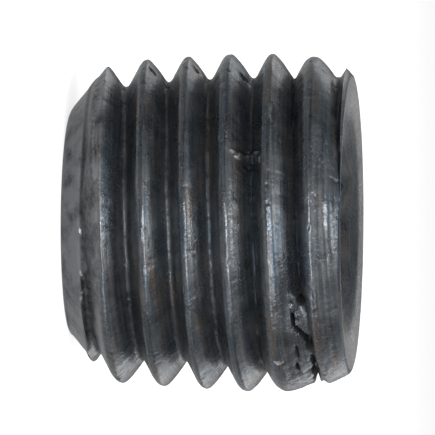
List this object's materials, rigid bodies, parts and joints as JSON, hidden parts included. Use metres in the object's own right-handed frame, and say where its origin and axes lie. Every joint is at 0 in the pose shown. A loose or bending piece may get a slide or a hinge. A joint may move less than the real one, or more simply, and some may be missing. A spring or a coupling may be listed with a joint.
{
  "type": "clamping screw",
  "caption": "Short headless clamping screw with a coarse thread along its whole length, a flat point with a chamfer, and a hexagon socket in the other end for a key.",
  "frame": {"origin": "centre of the flat face at the screw's point, on which it stands", "axes": "+Z along the screw's axis, from the point to the socket end; +X and +Y square to it, one flat of the socket facing 22 degrees from +X towards +Y"},
  "size_m": [0.024, 0.024, 0.02],
  "materials": {
    "black_steel": "satin black oxide on steel, worn and scuffed"
  },
  "bodies": {
    "root": {"clamping_screw": "black_steel"}
  },
  "joints": []
}
